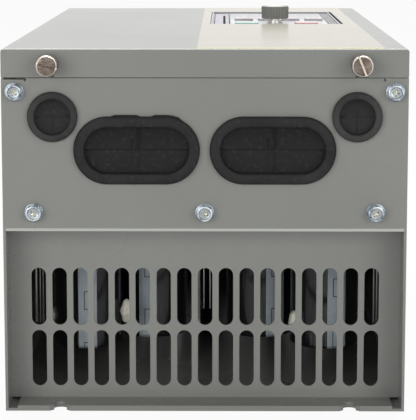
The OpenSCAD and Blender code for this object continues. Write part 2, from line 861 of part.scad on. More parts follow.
module linear_bridge(l) {
    // Stands a shape drawn in Y and Z along X
    rotate([90, 0, 90]) linear_extrude(l) children();
}

// Knuckles from -25 to 25 in five lengths, the outer and middle ones fixed
knuckle_l = hinge_l / 5;
fixed_spans = [for (i = [0, 2, 4]) [-hinge_l / 2 + i * knuckle_l, -hinge_l / 2 + (i + 1) * knuckle_l]];
free_spans = [for (i = [1, 3]) [-hinge_l / 2 + i * knuckle_l + knuckle_gap,
    -hinge_l / 2 + (i + 1) * knuckle_l - knuckle_gap]];

module hinge_case_leaves() {
    leaf_h = 20;
    color("silver") for (s = [-1, 1]) translate([s * hinge_x, 0, 0]) {
        hinge_barrels(fixed_spans, run_gap)
            translate([y1, rim_z - 6]) square([hinge_stand_off, 6 - leaf_gap]);
        translate([-hinge_l / 2, y1, rim_z - knuckle_r - leaf_gap - leaf_h])
            cube([hinge_l, sheet, leaf_h]);
    }
}

module hinge_cover_leaves() {
    leaf_h = 8;
    color("silver") for (s = [-1, 1]) translate([s * hinge_x, 0, 0]) {
        hinge_barrels(free_spans, run_gap)
            translate([y1, rim_z]) square([hinge_stand_off, 6]);
        translate([-hinge_l / 2, y1, rim_z + knuckle_r + leaf_gap]) cube([hinge_l, sheet, leaf_h]);
    }
}

module hinge_pins() {
    head_t = 1.2;
    color("silver") for (s = [-1, 1]) translate([s * hinge_x, hinge_y, rim_z]) rotate([0, 90, 0]) {
        translate([0, 0, -hinge_l / 2]) cylinder(r = hinge_pin_r, h = hinge_l, $fn = bore_fn);
        for (z = [-hinge_l / 2 - head_t, hinge_l / 2]) translate([0, 0, z]) cylinder(r = 2.3, h = head_t);
    }
}

// ---- Drawing ----

chassis();
lower_grille();
fan_panel();
upper_end_panel();
deck_plate();
front_rail();
thumb_nuts();
gland_plate();
gland_plate_screws();
round_grommet(-1);  // round_grommet_left
round_grommet(1);  // round_grommet_right
oblong_grommet(-1);  // oblong_grommet_left
oblong_grommet(1);  // oblong_grommet_right
heat_sink();
heat_sink_screws();
power_module(0, sink_y0 + 26, 110, 44);  // rectifier_module
power_module(0, sink_y0 + 90, 122, 62);  // inverter_module
bus_capacitor(cap_places[0]);  // bus_capacitor_1
bus_capacitor(cap_places[1]);  // bus_capacitor_2
bus_capacitor(cap_places[2]);  // bus_capacitor_3
bus_capacitor(cap_places[3]);  // bus_capacitor_4
capacitor_clamp();
adhesive_dabs();
bus_bars();
power_board();
power_terminal_block();
power_terminal_screws();
control_board();
control_terminal_block();
board_standoffs();
board_screws();
current_sensors();
soft_charge_relay();
control_transformer();
earth_studs();
fan_frame(-1);  // fan_frame_left
fan_frame(1);  // fan_frame_right
fan_guards();
hinge_case_leaves();
hinge_pins();
front_cover();
cover_overlay();
keypad_housing();
keypad_membrane();
display_window();
keypad_board();
potentiometer();
hinge_cover_leaves();
knob();
knob_shaft();
key(run_place, "seagreen");  // run_key
key(stop_place, "firebrick");  // stop_key
key(program_place, "lightgray");  // program_key
key(enter_place, "lightgray");  // enter_key
key(up_place, "lightgray");  // up_key
key(down_place, "lightgray");  // down_key
thumb_screw(-1);  // thumb_screw_left
thumb_screw(1);  // thumb_screw_right
fan_rotor(-1);  // fan_rotor_left
fan_rotor(1);  // fan_rotor_right
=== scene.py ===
import math
import random

import bmesh
import bpy
from mathutils import Matrix, Vector


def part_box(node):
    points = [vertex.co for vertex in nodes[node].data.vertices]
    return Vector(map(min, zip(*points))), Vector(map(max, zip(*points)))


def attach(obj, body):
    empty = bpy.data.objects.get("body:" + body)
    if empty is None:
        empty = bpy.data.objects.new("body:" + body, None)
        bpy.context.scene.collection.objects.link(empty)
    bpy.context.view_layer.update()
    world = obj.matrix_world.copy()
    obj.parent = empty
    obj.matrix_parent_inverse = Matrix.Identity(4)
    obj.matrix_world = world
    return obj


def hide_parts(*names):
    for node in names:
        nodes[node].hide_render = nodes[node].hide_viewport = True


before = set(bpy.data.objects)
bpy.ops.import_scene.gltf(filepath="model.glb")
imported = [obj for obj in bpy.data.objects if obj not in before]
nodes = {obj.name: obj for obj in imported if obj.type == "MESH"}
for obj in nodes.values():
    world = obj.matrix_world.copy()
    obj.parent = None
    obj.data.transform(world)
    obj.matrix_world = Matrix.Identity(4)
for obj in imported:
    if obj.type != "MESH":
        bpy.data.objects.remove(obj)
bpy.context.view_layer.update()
scene = bpy.context.scene
MM = 0.001

# ---------------------------------------------------------------------------
# Studio: a long lens a little above the cover, looking along the drive from its
# cable end, and three large soft lamps at the sides and above.
case_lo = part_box("chassis")[0]
cover_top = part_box("front_cover")[1].z
front_y = case_lo.y
eye_right, eye_back, eye_up = 10.4 * MM, 1051.6 * MM, 71.4 * MM
look_down, look_left = math.radians(8.6), math.radians(0.47)
camera_data = bpy.data.cameras.new("camera")
camera_data.lens = 167.6
camera_data.sensor_width = 36
camera_data.clip_start = 0.05
camera = bpy.data.objects.new("camera", camera_data)
camera.location = (eye_right, front_y - eye_back, cover_top + eye_up)
camera.rotation_euler = (math.pi / 2 - look_down, 0, look_left)
scene.collection.objects.link(camera)
scene.camera = camera
scene.view_settings.view_transform = "Standard"


def soft_lamp(name, place, aim, size, power):
    data = bpy.data.lights.new(name, "AREA")
    data.shape = "RECTANGLE"
    data.size, data.size_y = size
    data.energy = power
    lamp = bpy.data.objects.new(name, data)
    lamp.location = place
    lamp.rotation_euler = (Vector(aim) - Vector(place)).to_track_quat("-Z", "Y").to_euler()
    scene.collection.objects.link(lamp)


front_middle = (0, front_y, 0.1)
soft_lamp("left_lamp", place=(-1.2, -2.0, 0.55), aim=front_middle, size=(1.3, 1.1), power=20)
soft_lamp("right_lamp", place=(1.25, -1.9, 0.55), aim=front_middle, size=(1.2, 1.1), power=16)
soft_lamp("top_lamp", place=(0.0, 0.6, 1.9), aim=(0, 0, 0.2), size=(1.5, 1.5), power=58)


# ---------------------------------------------------------------------------
# Case: folded steel sheet, sprayed in a satin warm grey. The tray, the end
# panels, the gland plate, the rail behind it and the cover all have this paint.
class Port:
    """A shader value that can be written into a Python expression."""

    def __init__(self, shading, socket):
        self.shading, self.socket = shading, socket

    def math(self, operation, other=0.0, turned=False):
        first, second = (other, self) if turned else (self, other)
        return self.shading.add("ShaderNodeMath", {"operation": operation}, {0: first, 1: second})

    def __add__(self, other):
        return self.math("ADD", other)

    def __radd__(self, other):
        return self.math("ADD", other)

    def __sub__(self, other):
        return self.math("SUBTRACT", other)

    def __rsub__(self, other):
        return self.math("SUBTRACT", other, True)

    def __mul__(self, other):
        return self.math("MULTIPLY", other)

    def __rmul__(self, other):
        return self.math("MULTIPLY", other)

    def __lt__(self, other):
        return self.math("LESS_THAN", other)

    def __gt__(self, other):
        return self.math("GREATER_THAN", other)


class Shading:
    """The nodes of a material or of the world, which are added by calls."""

    def __init__(self, owner):
        owner.use_nodes = True
        self.tree = owner.node_tree

    def feed(self, socket, value):
        if isinstance(value, Port):
            self.tree.links.new(value.socket, socket)
        else:
            socket.default_value = value

    def add(self, kind, settings=None, sockets=None, out=0):
        made = self.tree.nodes.new(kind)
        for key, value in (settings or {}).items():
            setattr(made, key, value)
        for key, value in (sockets or {}).items():
            self.feed(made.inputs[key], value)
        return Port(self, made.outputs[out])


class Finish(Shading):
    """A material on its piece's own coordinates."""

    # The Mix node's two colour inputs and its colour output, by number.
    FIRST, SECOND, MIXED = 6, 7, 2

    def __init__(self, name):
        self.material = bpy.data.materials.new(name)
        super().__init__(self.material)
        self.shader = self.tree.nodes["Principled BSDF"]
        self.place = self.add("ShaderNodeTexCoord", out="Object")
        self.x, self.y, self.z = [
            self.add("ShaderNodeSeparateXYZ", {}, {0: self.place}, out=axis) for axis in "XYZ"
        ]

    def noise(self, scale, detail=3.0, stretch=None):
        where = self.place
        if stretch:
            where = self.add("ShaderNodeMapping", {}, {"Vector": where, "Scale": stretch})
        return self.add("ShaderNodeTexNoise", {}, {"Vector": where, "Scale": scale, "Detail": detail})

    def blend(self, part, first, second):
        first, second = [c if isinstance(c, Port) else (*c, 1) for c in (first, second)]
        sockets = {"Factor": part, self.FIRST: first, self.SECOND: second}
        return self.add("ShaderNodeMix", {"data_type": "RGBA"}, sockets, out=self.MIXED)

    def band(self, value, low, high):
        return (value > low) * (value < high)

    def ramp(self, value, low, high):
        return self.add("ShaderNodeMapRange", {}, {"Value": value, "From Min": low, "From Max": high})

    def bump(self, height, distance, strength=0.5, under=None):
        sockets = {"Height": height, "Distance": distance, "Strength": strength}
        if under:
            sockets["Normal"] = under
        return self.add("ShaderNodeBump", {}, sockets)

    def set(self, **values):
        for key, value in values.items():
            self.feed(self.shader.inputs[key.replace("_", " ")], value)
        return self.material


def dress(material, *names):
    for name in names:
        mesh = nodes[name].data
        mesh.materials.clear()
        mesh.materials.append(material)


PAINT = (0.192, 0.196, 0.181)
PAINT_DULL = (0.176, 0.180, 0.166)
PAINT_SCUFFED = (0.25, 0.255, 0.235)


def case_paint(name):
    paint = Finish(name)
    cloud = paint.noise(9, 4)
    peel = paint.noise(1400, 2)
    scuff = paint.noise(60, 5, stretch=(1, 1, 3))
    colour = paint.blend(paint.ramp(cloud, 0.35, 0.7), PAINT, PAINT_DULL)
    colour = paint.blend(paint.ramp(scuff, 0.66, 0.8) * 0.25, colour, PAINT_SCUFFED)
    waves = paint.bump(cloud, 0.3 * MM, 0.15)
    return paint.set(
        Base_Color=colour,
        Roughness=paint.ramp(cloud, 0.1, 0.9) * 0.06 + 0.25,
        Normal=paint.bump(peel, 0.05 * MM, 0.3, waves),
        Specular_IOR_Level=0.5,
    )


paint_material = case_paint("case_paint")
dress(paint_material, "chassis", "lower_grille", "fan_panel", "upper_end_panel", "gland_plate")
dress(paint_material, "front_cover", "front_rail")


# ---------------------------------------------------------------------------
# Deck, clinch nuts, guards and small steel parts: galvanised sheet and zinc
# plate. The deck's front edge shows under the gland plate and is painted, in a pale grey that is partly
# a painted highlight along its bent edge.
def zinc_finish(name, paint_highlight_before=None):
    zinc = Finish(name)
    crystals = zinc.add("ShaderNodeTexVoronoi", {}, {"Vector": zinc.place, "Scale": 130.0}, out="Color")
    flake = zinc.add("ShaderNodeSeparateColor", {}, {0: crystals})
    grime = zinc.noise(35, 5)
    colour = zinc.blend(flake, (0.42, 0.44, 0.45), (0.60, 0.62, 0.63))
    colour = zinc.blend(zinc.ramp(grime, 0.5, 0.85) * 0.4, colour, (0.30, 0.30, 0.28))
    metal, rough = 1.0, zinc.ramp(flake, 0.0, 1.0) * 0.12 + 0.3
    if paint_highlight_before is not None:
        # Painted front edge, paler than the case paint: the extra lightness is a painted highlight on
        # the bent edge.
        paint_and_highlight = zinc.y < paint_highlight_before
        colour = zinc.blend(paint_and_highlight, colour, (0.36, 0.37, 0.34))
        metal = 1 - paint_and_highlight
        rough = rough + paint_and_highlight * 0.1
    return zinc.set(
        Base_Color=colour,
        Metallic=metal,
        Roughness=rough,
        Normal=zinc.bump(grime, 0.2 * MM, 0.2),
    )


zinc_material = zinc_finish("zinc_sheet")
dress(zinc_finish("deck_zinc", front_y + 0.5 * MM), "deck_plate")
dress(zinc_material, "thumb_nuts", "fan_guards", "heat_sink_screws", "hinge_case_leaves")
dress(zinc_material, "hinge_cover_leaves", "hinge_pins", "board_screws", "power_terminal_screws")


# ---------------------------------------------------------------------------
# Heat sink: extruded aluminium with drawn lines along the fins, dusty from the
# air that the fans pull past it.
def sink_finish():
    alloy = Finish("extruded_aluminium")
    drawn = alloy.noise(60, 4, stretch=(14, 0.25, 14))
    dust = alloy.ramp(alloy.noise(22, 5), 0.45, 0.8)
    colour = alloy.blend(alloy.ramp(drawn, 0.3, 0.7), (0.44, 0.45, 0.46), (0.58, 0.59, 0.60))
    return alloy.set(
        Base_Color=alloy.blend(dust * 0.6, colour, (0.24, 0.23, 0.21)),
        Metallic=0.7 - dust * 0.4,
        Roughness=0.32 + drawn * 0.2,
        Normal=alloy.bump(drawn, 0.1 * MM, 0.3),
    )


dress(sink_finish(), "heat_sink")


# ---------------------------------------------------------------------------
# Bus capacitors: aluminium cans in a glossy black shrink sleeve with a blue-grey
# polarity stripe, which carries an outlined bar at intervals.
def sleeve_finish(name, node, stripe_shift, mark_shift):
    lo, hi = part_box(node)
    stripe_x = (lo.x + hi.x) / 2 + stripe_shift
    axis_y = (lo.y + hi.y) / 2
    sleeve = Finish(name)
    distance = (sleeve.x - stripe_x).math("ABSOLUTE")
    half_stripe, half_bar, bar_length, line = 5.3 * MM, 2.2 * MM, 11 * MM, 0.55 * MM
    stripe = (distance < half_stripe) * (sleeve.y < axis_y)
    along = (sleeve.z - lo.z + mark_shift).math("MODULO", 30 * MM)
    outer = (distance < half_bar) * (along < bar_length)
    inner = (distance < half_bar - line) * sleeve.band(along, line, bar_length - line)
    wrinkle = sleeve.noise(60, 3, stretch=(7, 7, 0.3))
    scuff = sleeve.noise(300, 4)
    black = sleeve.blend(sleeve.ramp(scuff, 0.6, 0.9) * 0.3, (0.010, 0.010, 0.011), (0.05, 0.05, 0.05))
    blue_grey = sleeve.blend(sleeve.ramp(scuff, 0.3, 0.8), (0.43, 0.495, 0.53), (0.36, 0.415, 0.45))
    marked = sleeve.blend(outer - inner, blue_grey, (0.015, 0.015, 0.018))
    return sleeve.set(
        Base_Color=sleeve.blend(stripe, black, marked),
        Roughness=0.06 + wrinkle * 0.14 + stripe * 0.2,
        Normal=sleeve.bump(wrinkle, 0.5 * MM, 0.45),
    )


for node_name, stripe_shift, mark_shift in (
    ("bus_capacitor_1", 1.0, 7.1), ("bus_capacitor_2", -2.7, 23.6),
    ("bus_capacitor_3", 8.9, 23.5), ("bus_capacitor_4", 6.2, 29.4),
):
    sleeve_material = sleeve_finish(node_name + "_sleeve", node_name, stripe_shift * MM, mark_shift * MM)
    dress(sleeve_material, node_name)


# ---------------------------------------------------------------------------
# Silicone dabs: cream sealant squeezed on by hand to steady the cans. Each is a
# lumpy blob with a drawn-off peak.
def make_piece(name, bm, material, body, smooth_angle=35):
    bmesh.ops.remove_doubles(bm, verts=bm.verts, dist=1e-7)
    bmesh.ops.recalc_face_normals(bm, faces=bm.faces)
    mesh = bpy.data.meshes.new(name)
    bm.to_mesh(mesh)
    bm.free()
    mesh.materials.append(material)
    mesh.shade_smooth()
    mesh.set_sharp_from_angle(angle=math.radians(smooth_angle))
    piece = bpy.data.objects.new(name, mesh)
    scene.collection.objects.link(piece)
    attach(piece, body)
    return piece


def silicone_finish():
    cream = Finish("cream_silicone")
    lump = cream.noise(420, 4)
    colour = cream.blend(cream.ramp(lump, 0.3, 0.7), (0.80, 0.75, 0.60), (0.92, 0.88, 0.76))
    return cream.set(
        Base_Color=colour,
        Roughness=0.38,
        Normal=cream.bump(lump, 0.5 * MM, 0.5),
        Subsurface_Weight=0.12,
    )


def sealant_blob(bm, centre, size, seed):
    """A drawn-off blob whose surface ripples by waves that start where the seed says."""
    random.seed(seed)
    blob = bmesh.ops.create_icosphere(bm, subdivisions=3, radius=1)["verts"]
    bmesh.ops.scale(bm, vec=size, verts=blob)
    phase = [random.uniform(0, 6.28) for _ in range(3)]
    for vert in blob:
        x, y, z = vert.co
        ripple = 0.12 * math.sin(z * 900 + phase[0]) + 0.10 * math.sin(x * 1100 + phase[1])
        taper = 1 - 0.35 * max(0, z / size[2]) ** 2
        lift = 0.08 * size[2] * math.sin(y * 800 + phase[2])
        vert.co = Vector((x * taper * (1 + ripple), y * (1 + ripple), z + lift))
    bmesh.ops.translate(bm, vec=centre, verts=blob)


dab_lo, dab_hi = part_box("adhesive_dabs")
dab_z = (dab_lo.z + dab_hi.z) / 2
can_lo, can_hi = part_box("bus_capacitor_1")
can_y = (can_lo.y + can_hi.y) / 2
can_x, can_r = -(can_lo.x + can_hi.x) / 2, (can_hi.x - can_lo.x) / 2
inner_x, outer_x = can_x - can_r, can_x + can_r
dabs = bmesh.new()
for from_x, shift, size, seed in (
    (-inner_x, (3.0, -6, -0.3), (4.0, 4.5, 7.2), 3),
    (inner_x, (2.2, -13, -3.6), (3.4, 4.5, 5.8), 5),
    (-outer_x, (-1.2, -3, -2.6), (3.0, 4, 4.9), 8),
    (outer_x, (-0.6, 2, -2.6), (3.3, 4, 4.8), 13),
):
    sealant_blob(dabs, Vector((from_x, can_y, dab_z)) + Vector(shift) * MM, Vector(size) * MM, seed)
sealant = make_piece("sealant_dabs", dabs, silicone_finish(), "case", 80)
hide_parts("adhesive_dabs")


# ---------------------------------------------------------------------------
# Duct strips: bright steel edges that hang from the deck into the air duct, one
# pair between the middle cans and a folded stack at each side wall.
def rib(bm, centre, size):
    """A straight bar with softened edges."""
    made = bmesh.ops.create_cube(bm, size=1)["verts"]
    bmesh.ops.scale(bm, vec=size, verts=made)
    edges = {edge for vert in made for edge in vert.link_edges}
    shaped = bmesh.ops.bevel(
        bm, geom=list(edges), offset=min(size) * 0.35,
        segments=2, profile=0.5, material=-1, affect="EDGES",
    )
    made = {vert for face in shaped["faces"] for vert in face.verts}
    bmesh.ops.translate(bm, vec=centre, verts=list(made))


def bright_steel():
    steel = Finish("bright_steel")
    drawn = steel.noise(50, 3, stretch=(12, 12, 0.3))
    return steel.set(
        Base_Color=steel.blend(steel.ramp(drawn, 0.3, 0.7), (0.62, 0.62, 0.60), (0.80, 0.80, 0.78)),
        Metallic=0.7,
        Roughness=0.3 + drawn * 0.2,
        Normal=steel.bump(drawn, 0.05 * MM, 0.3),
    )


deck_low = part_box("deck_plate")[0].z
strips = bmesh.new()
for x, y, low, width in (
    (-1.8, -100, 32, 0.9), (2.0, -100, 32, 0.9),
    (-101.8, -130, 29.5, 1.6), (-99.4, -130, 29.5, 0.9), (-97.6, -130, 29.5, 0.9),
    (100.0, -130, 29.5, 0.9), (101.8, -130, 29.5, 0.9),
):
    low *= MM
    rib(strips, (x * MM, y * MM, (deck_low + low) / 2), (width * MM, 6 * MM, deck_low - low))
make_piece("duct_strips", strips, bright_steel(), "case")


# ---------------------------------------------------------------------------
# Moulded black parts: fans, clamp, power modules, relay, sensors and the power
# terminal block, in glass-filled plastic with a fine spark-eroded texture.
def moulded_finish(name, dark, light, rough):
    plastic = Finish(name)
    grain = plastic.noise(2200, 2)
    cloud = plastic.noise(30, 3)
    return plastic.set(
        Base_Color=plastic.blend(plastic.ramp(cloud, 0.3, 0.75), dark, light),
        Roughness=rough + cloud * 0.12,
        Normal=plastic.bump(grain, 0.05 * MM, 0.4),
    )


black_plastic = moulded_finish("black_moulding", (0.018, 0.018, 0.019), (0.032, 0.032, 0.033), 0.42)
dress(black_plastic, "fan_frame_left", "fan_frame_right", "fan_rotor_left", "fan_rotor_right")
dress(black_plastic, "capacitor_clamp", "rectifier_module", "inverter_module", "soft_charge_relay")
dress(black_plastic, "current_sensors", "power_terminal_block")
green_plastic = moulded_finish("green_moulding", (0.03, 0.26, 0.10), (0.045, 0.34, 0.14), 0.4)
dress(green_plastic, "control_terminal_block")


# ---------------------------------------------------------------------------
# Boards: glass epoxy under green solder resist, with copper tracks that show
# through it as lighter lines and a tinned pad here and there.
def board_finish():
    resist = Finish("solder_resist")
    tracks = resist.add(
        "ShaderNodeTexBrick", {"offset": 0.37, "squash": 1.0},
        {"Vector": resist.place, "Color1": (0.010, 0.10, 0.035, 1), "Color2": (0.014, 0.13, 0.045, 1),
         "Mortar": (0.03, 0.22, 0.07, 1), "Scale": 60.0, "Mortar Size": 0.03},
        out="Color",
    )
    from_spot = resist.add(
        "ShaderNodeTexVoronoi", {}, {"Vector": resist.place, "Scale": 210.0}, out="Distance")
    pad = from_spot < 0.16
    return resist.set(
        Base_Color=resist.blend(pad, tracks, (0.55, 0.55, 0.52)),
        Metallic=pad * 0.9,
        Roughness=0.3,
        Normal=resist.bump(pad, 0.1 * MM, 0.3),
    )


dress(board_finish(), "power_board", "control_board", "keypad_board")


# ---------------------------------------------------------------------------
# Small metal parts: copper bus bars and transformer winding, turned brass
# stand-offs and earth studs, and the plated can and shaft of the potentiometer.
def metal_finish(name, dark, light, rough):
    metal = Finish(name)
    drawn = metal.noise(90, 3, stretch=(0.3, 8, 8))
    return metal.set(
        Base_Color=metal.blend(metal.ramp(drawn, 0.3, 0.7), dark, light),
        Metallic=1.0,
        Roughness=rough + drawn * 0.15,
        Normal=metal.bump(drawn, 0.06 * MM, 0.3),
    )


copper = metal_finish("copper_bar", (0.55, 0.24, 0.13), (0.72, 0.36, 0.22), 0.25)
brass = metal_finish("turned_brass", (0.52, 0.36, 0.13), (0.66, 0.50, 0.22), 0.28)
plated_steel = metal_finish("potentiometer_metal", (0.45, 0.44, 0.42), (0.62, 0.61, 0.58), 0.28)
dress(copper, "bus_bars", "control_transformer")
dress(brass, "board_standoffs", "earth_studs")
dress(plated_steel, "potentiometer", "knob_shaft")


# ---------------------------------------------------------------------------
# Grommets: moulded black rubber, snapped into the gland plate by a groove, each
# closed by a thin membrane with ribs that show where to cut it.
def circle_outline(radius, count=64):
    angles = [2 * math.pi * i / count for i in range(count)]
    return [(radius * math.cos(angle), radius * math.sin(angle)) for angle in angles]


def stadium_outline(width, height, count=96):
    """A slot outline, with a third of its points on each round end and a sixth on each flat."""
    radius, flat = height / 2, width / 2 - height / 2
    points = []
    per_end, per_flat = count // 3, count // 6
    for side in (1, -1):
        for i in range(per_end):
            angle = -math.pi / 2 + math.pi * i / per_end
            points.append((side * (flat + radius * math.cos(angle)), side * radius * math.sin(angle)))
        for i in range(per_flat):
            points.append((side * (flat - 2 * flat * i / per_flat), side * radius))
    return points


def stack(bm, centre, steps, turn=0.0):
    """Extrudes a face through a row of outlines, each at its depth along Y, into a closed shape."""
    depth, outline = steps[0]
    made = [bm.verts.new((x, depth, z)) for x, z in outline]
    base = top = bm.faces.new(made)
    for depth, outline in steps[1:]:
        grown = bmesh.ops.extrude_face_region(bm, geom=[top])["geom"]
        if top is not base:
            bmesh.ops.delete(bm, geom=[top], context="FACES_ONLY")
        top = next(item for item in grown if isinstance(item, bmesh.types.BMFace))
        for vert, (x, z) in zip(top.verts, outline):
            vert.co = (x, depth, z)
        made += top.verts
    bmesh.ops.rotate(bm, cent=(0, 0, 0), matrix=Matrix.Rotation(turn, 3, "Y"), verts=made)
    bmesh.ops.translate(bm, vec=centre, verts=made)


def rubber_finish(name, dark, light):
    """The rim is greyed by bloom; the membrane down in its recess is kept blacker as painted shade."""
    rubber = Finish(name)
    bloom = rubber.noise(60, 5)
    chalk = rubber.noise(420, 4)
    # Painted shade: the bloom is held back from the membrane in the recess, so it stays darker.
    rim_outside_recess_shade = rubber.ramp(rubber.y, front_y - 1.2 * MM, front_y - 2.4 * MM)
    colour = rubber.blend(rubber.ramp(bloom, 0.3, 0.75) * rim_outside_recess_shade, dark, light)
    colour = rubber.blend(rubber.ramp(chalk, 0.55, 0.85) * 0.35, colour, (0.07, 0.07, 0.07))
    grain = rubber.bump(rubber.noise(1500, 3), 0.08 * MM, 0.5)
    return rubber.set(
        Base_Color=colour,
        Roughness=0.62 + bloom * 0.15,
        Normal=rubber.bump(chalk, 0.25 * MM, 0.5, grain),
        Specular_IOR_Level=0.25,
    )


plate_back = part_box("gland_plate")[1].y
grey_rubber = rubber_finish("grey_rubber", (0.012, 0.012, 0.012), (0.040, 0.040, 0.039))
dark_rubber = rubber_finish("dark_rubber", (0.004, 0.004, 0.004), (0.017, 0.017, 0.018))
ROUND_OPENING = 9.7 * MM
OBLONG_RIM = 5.9 * MM
GROOVE_DEPTH = 1.4 * MM
for side in ("left", "right"):
    node_name = "round_grommet_" + side
    lo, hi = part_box(node_name)
    centre = Vector(((lo.x + hi.x) / 2, 0, (lo.z + hi.z) / 2))
    outer = (hi.x - lo.x) / 2
    waist = ROUND_OPENING + GROOVE_DEPTH
    rim_y, inner_y, floor_y = lo.y, hi.y, plate_back + 1.2 * MM
    grommet = bmesh.new()
    stack(grommet, centre, [
        (floor_y, circle_outline(ROUND_OPENING)),
        (inner_y, circle_outline(ROUND_OPENING)),
        (inner_y, circle_outline(outer - 0.8 * MM)),
        (inner_y - 0.8 * MM, circle_outline(outer)),
        (plate_back, circle_outline(outer)),
        (plate_back, circle_outline(waist)),
        (front_y, circle_outline(waist)),
        (front_y, circle_outline(outer - 0.3 * MM)),
        (front_y - 0.4 * MM, circle_outline(outer)),
        (rim_y + 1.3 * MM, circle_outline(outer)),
        (rim_y + 0.45 * MM, circle_outline(outer - 0.35 * MM)),
        (rim_y, circle_outline(outer - 1.2 * MM)),
        (rim_y, circle_outline(ROUND_OPENING + 1.0 * MM)),
        (rim_y + 0.3 * MM, circle_outline(ROUND_OPENING + 0.3 * MM)),
        (rim_y + 0.9 * MM, circle_outline(ROUND_OPENING)),
        (plate_back - 0.6 * MM, circle_outline(ROUND_OPENING)),
        (plate_back, circle_outline(ROUND_OPENING - 0.6 * MM)),
    ])
    cross = 1.8 * ROUND_OPENING
    web = plate_back - 0.05 * MM
    for size in ((cross, 0.3 * MM, 0.5 * MM), (0.5 * MM, 0.3 * MM, cross)):
        rib(grommet, centre + Vector((0, web, 0)), size)
    piece = make_piece("cable_" + node_name, grommet, grey_rubber, "case", 50)
    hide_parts(node_name)

    node_name = "oblong_grommet_" + side
    lo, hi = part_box(node_name)
    centre = Vector(((lo.x + hi.x) / 2, 0, (lo.z + hi.z) / 2))
    width, height = hi.x - lo.x, hi.z - lo.z

    def slot_ring(shrink):
        return stadium_outline(width - 2 * shrink, height - 2 * shrink)

    def curled_ring(shrink):
        """The left grommet's lip is squeezed up behind its rim at two stretches of its upper edge."""
        lifted = []
        for x, z in slot_ring(shrink):
            on_top = z > height / 2 - 2.5 * MM - shrink
            curled = on_top and (-13 * MM < x < 1 * MM or 9 * MM < x < 24 * MM)
            lifted.append((x, z + 0.8 * MM) if curled and side == "left" else (x, z))
        return lifted

    waist = OBLONG_RIM - GROOVE_DEPTH
    grommet = bmesh.new()
    stack(grommet, centre, [
        (floor_y, slot_ring(OBLONG_RIM)),
        (inner_y, slot_ring(OBLONG_RIM)),
        (inner_y, slot_ring(0.8 * MM)),
        (inner_y - 0.8 * MM, slot_ring(0)),
        (plate_back, slot_ring(0)),
        (plate_back, slot_ring(waist)),
        (front_y, slot_ring(waist)),
        (front_y, slot_ring(0.4 * MM)),
        (front_y - 0.4 * MM, curled_ring(0.1 * MM)),
        (front_y - 1.2 * MM, curled_ring(0)),
        (rim_y + 1.5 * MM, slot_ring(0.1 * MM)),
        (rim_y + 0.5 * MM, slot_ring(0.5 * MM)),
        (rim_y, slot_ring(1.5 * MM)),
        (rim_y, slot_ring(OBLONG_RIM - 1.1 * MM)),
        (rim_y + 0.3 * MM, slot_ring(OBLONG_RIM - 0.3 * MM)),
        (rim_y + 1.0 * MM, slot_ring(OBLONG_RIM)),
        (plate_back - 0.8 * MM, slot_ring(OBLONG_RIM)),
        (plate_back, slot_ring(OBLONG_RIM + 0.8 * MM)),
    ])
    inner_w, inner_h = width - 2 * OBLONG_RIM, height - 2 * OBLONG_RIM
    lower_half = [(x, min(z, 0)) for x, z in slot_ring(OBLONG_RIM + 0.5 * MM)]
    stack(grommet, centre, [(web + 0.3 * MM, lower_half), (web - 0.35 * MM, lower_half)])
    rib(grommet, centre + Vector((0, web, 0)), (inner_w * 0.98, 1.0 * MM, 0.6 * MM))
    for offset, share in ((-2.6 * MM, 0.5), (0.3 * MM, 0.97), (1.6 * MM, 0.97)):
        rib(grommet, centre + Vector((offset, web, 0)), (0.5 * MM, 1.0 * MM, inner_h * share))
    piece = make_piece("cable_" + node_name, grommet, dark_rubber, "case", 50)
    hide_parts(node_name)


# ---------------------------------------------------------------------------
# Gland plate screws: zinc-plated hexagon screws with an indented head, a cross
# recess, and a spring washer and plain washer held captive.
SCREW_POINTS = 48


def screw_ring(radius):
    return circle_outline(radius, SCREW_POINTS)


def hexagon_outline(across_flats, round_by=0.0):
    """A hexagon whose corners are drawn in towards the circle inside it."""
    points = []
    for i in range(SCREW_POINTS):
        angle = 2 * math.pi * i / SCREW_POINTS
        inside = across_flats / 2
        corner = inside / math.cos((angle % (math.pi / 3)) - math.pi / 6)
        radius = corner - round_by * (corner - inside)
        points.append((radius * math.cos(angle), radius * math.sin(angle)))
    return points


def cross_outline(reach, notch):
    """A driver cross: four arms of 34 degrees, with a notch between each two."""
    points = []
    for i in range(SCREW_POINTS):
        angle = 2 * math.pi * i / SCREW_POINTS
        away = abs(((angle + math.pi / 4) % (math.pi / 2)) - math.pi / 4)
        radius = reach if away < math.radians(17) else notch
        points.append((radius * math.cos(angle), radius * math.sin(angle)))
    return points


def plated_finish(face_y):
    """Blue passivated zinc with a painted highlight on the head's rounded rim, and yellower down in the
    recess.
    """
    plated = Finish("bright_zinc")
    cloud = plated.noise(240, 4)
    blue = plated.blend(plated.ramp(cloud, 0.35, 0.65), (0.09, 0.12, 0.155), (0.26, 0.30, 0.335))
    # Painted highlight: the rounded rim of the head is coloured bright where light would catch it.
    bright = plated.ramp(plated.y, face_y + 0.5 * MM, face_y + 0.15 * MM)
    colour = plated.blend(bright * plated.ramp(cloud, 0.3, 0.6), blue, (0.56, 0.60, 0.62))
    indent = plated.band(plated.y, face_y + 0.3 * MM, face_y + 1.0 * MM)
    colour = plated.blend(indent * 0.5, colour, (0.50, 0.52, 0.53))
    deep = plated.band(plated.y, face_y + 0.9 * MM, face_y + 3 * MM) * (plated.noise(900, 2) > 0.42)
    colour = plated.blend(deep * 0.9, colour, (0.92, 0.90, 0.74))
    return plated.set(
        Base_Color=colour,
        Metallic=0.9,
        Roughness=0.2 + cloud * 0.2,
        Normal=plated.bump(cloud, 0.1 * MM, 0.3),
    )


